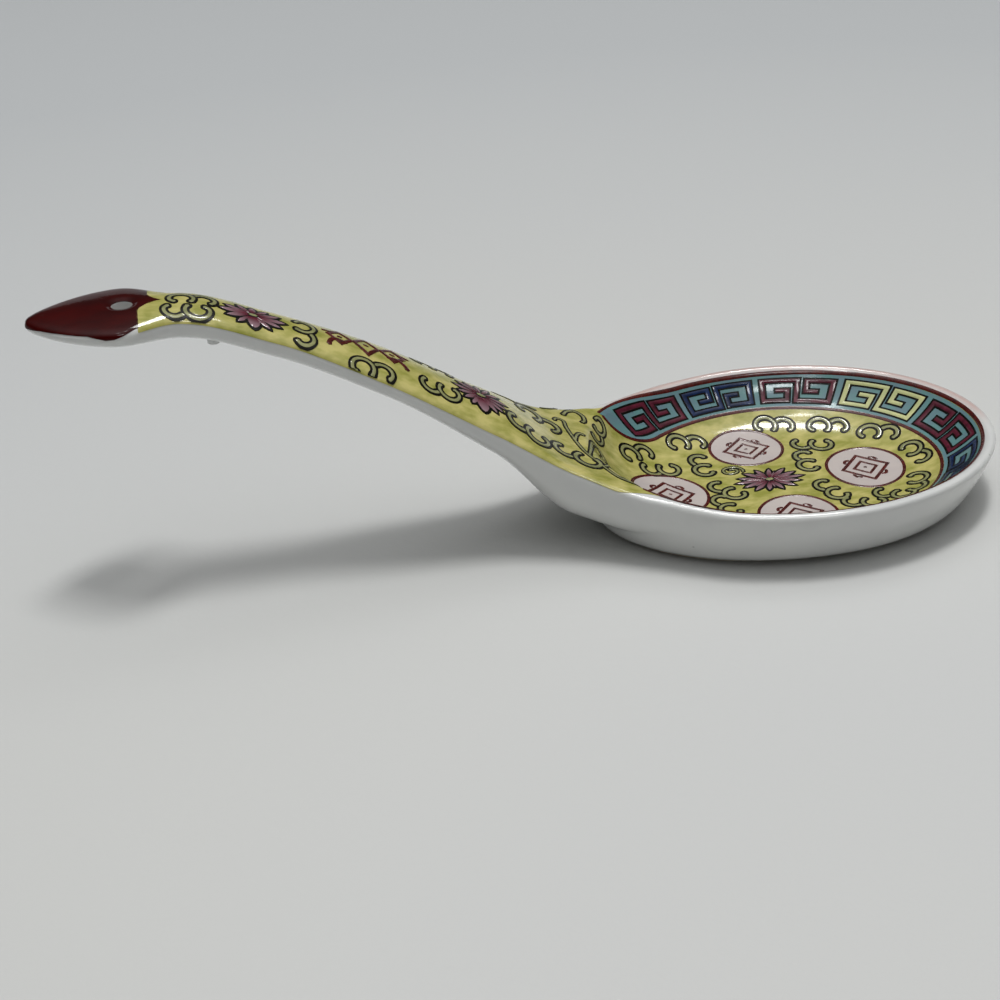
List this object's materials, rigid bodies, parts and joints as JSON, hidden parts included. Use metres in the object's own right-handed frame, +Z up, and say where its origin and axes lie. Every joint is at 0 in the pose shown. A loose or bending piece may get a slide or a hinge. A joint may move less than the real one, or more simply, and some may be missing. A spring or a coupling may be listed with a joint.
{
  "type": "chinese soup spoon",
  "caption": "Porcelain soup spoon with a deep oval bowl, a flat foot and a rising domed handle pierced at its leaf-shaped head.",
  "frame": {"origin": "middle of the bowl on the flat face of the foot, where the spoon stands", "axes": "+X from the handle towards the front of the bowl, +Z up, +Y to the left of someone who looks along +X"},
  "size_m": [0.1391, 0.0496, 0.0435],
  "materials": {
    "porcelain": "clear glossy glaze over white porcelain",
    "unglazed_biscuit": "bare fired clay, matt",
    "lemon_enamel": "glossy brushed lemon enamel",
    "oxblood_enamel": "glossy dark red enamel",
    "turquoise_enamel": "glossy turquoise enamel",
    "plum_enamel": "translucent plum enamel with dark outlines",
    "blue_enamel": "translucent blue enamel with dark outlines",
    "straw_enamel": "pale straw enamel with dark outlines",
    "iron_red": "thin iron-red enamel",
    "white_reserve": "white enamel under clear glaze",
    "olive_scroll": "olive enamel with dark outlines"
  },
  "bodies": {
    "root": {"bowl": "porcelain", "handle": "porcelain", "handle_head": "porcelain", "foot": "unglazed_biscuit", "kiln_spur": "porcelain", "bowl_ground": "lemon_enamel", "handle_ground": "lemon_enamel", "head_enamel": "oxblood_enamel", "fret_band": "turquoise_enamel", "rim_line": "iron_red", "band_line": "iron_red", "plum_keys": "plum_enamel", "blue_keys": "blue_enamel", "straw_keys": "straw_enamel", "medallions": "white_reserve", "medallion_rings": "iron_red", "medallion_knots": "iron_red", "bowl_flower": "plum_enamel", "handle_flowers": "plum_enamel", "handle_knot": "iron_red", "scroll_work": "olive_scroll"}
  },
  "joints": []
}
